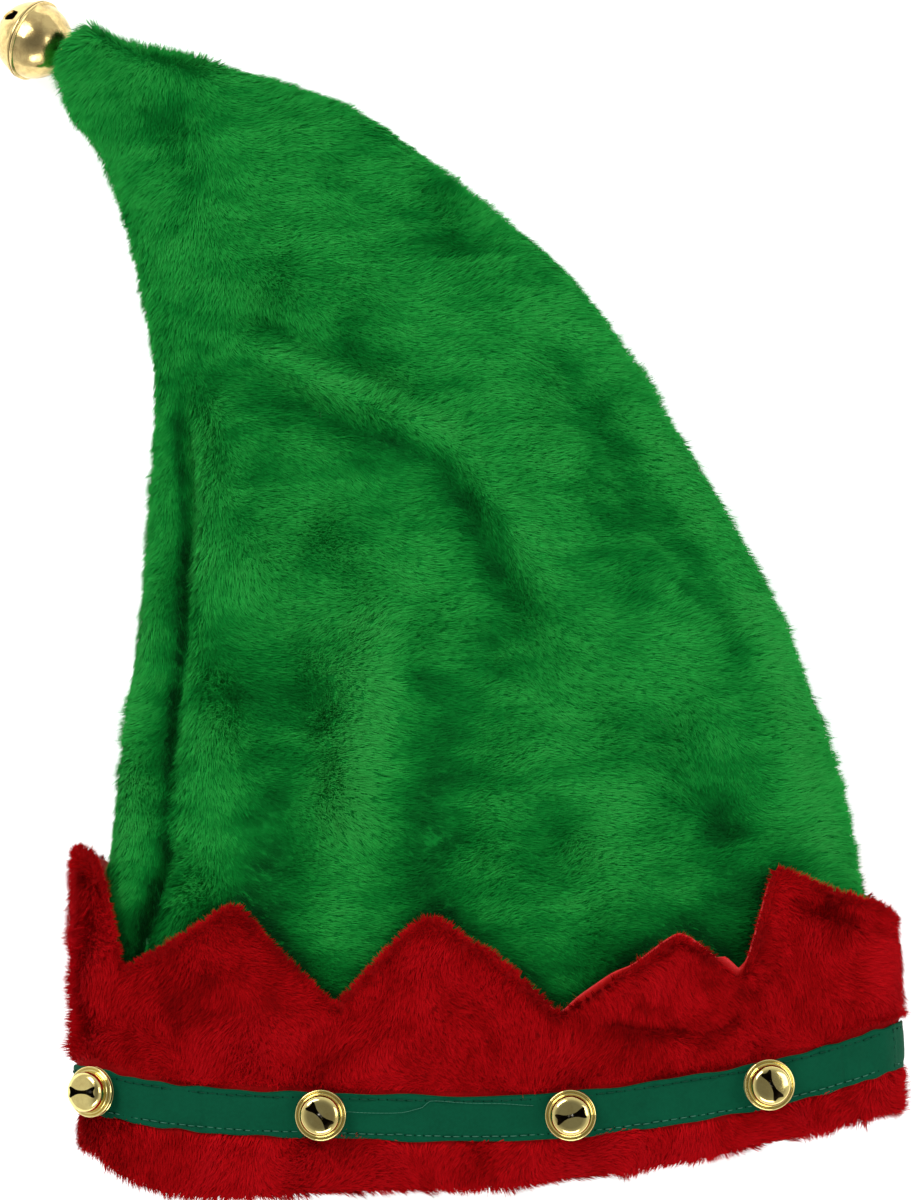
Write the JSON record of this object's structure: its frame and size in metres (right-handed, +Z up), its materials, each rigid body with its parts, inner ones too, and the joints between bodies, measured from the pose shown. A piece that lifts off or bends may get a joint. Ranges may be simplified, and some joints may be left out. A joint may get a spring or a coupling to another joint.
{
  "type": "elf hat",
  "caption": "Curved plush elf hat with a zigzag turn-up cuff, a sewn ribbon with small bells round it and a round bell at the tip, lying on its back.",
  "frame": {"origin": "middle of the underside of the hat's box, on the surface that the hat lies on", "axes": "+X across the hat to its right as seen from the front, +Y from the hem towards the tip, +Z up away from the surface"},
  "size_m": [0.3268, 0.4278, 0.0837],
  "materials": {
    "green_plush": "long-pile plush",
    "red_plush": "long-pile plush",
    "red_satin": "thin satin",
    "ribbon": "woven ribbon with running stitches",
    "bell_brass": "polished plating",
    "pellet_steel": "plain"
  },
  "bodies": {
    "root": {"crown": "green_plush", "cuff": "red_plush", "cuff_lining": "red_satin", "band": "ribbon", "bell_1_front": "bell_brass", "bell_1_back": "bell_brass", "bell_1_pellet": "pellet_steel", "bell_2_front": "bell_brass", "bell_2_back": "bell_brass", "bell_2_pellet": "pellet_steel", "bell_3_front": "bell_brass", "bell_3_back": "bell_brass", "bell_3_pellet": "pellet_steel", "bell_4_front": "bell_brass", "bell_4_back": "bell_brass", "bell_4_pellet": "pellet_steel", "bell_5_front": "bell_brass", "bell_5_back": "bell_brass", "bell_5_pellet": "pellet_steel", "bell_6_front": "bell_brass", "bell_6_back": "bell_brass", "bell_6_pellet": "pellet_steel", "bell_7_front": "bell_brass", "bell_7_back": "bell_brass", "bell_7_pellet": "pellet_steel", "tip_bell_front": "bell_brass", "tip_bell_back": "bell_brass", "tip_bell_pellet": "pellet_steel"}
  },
  "joints": []
}
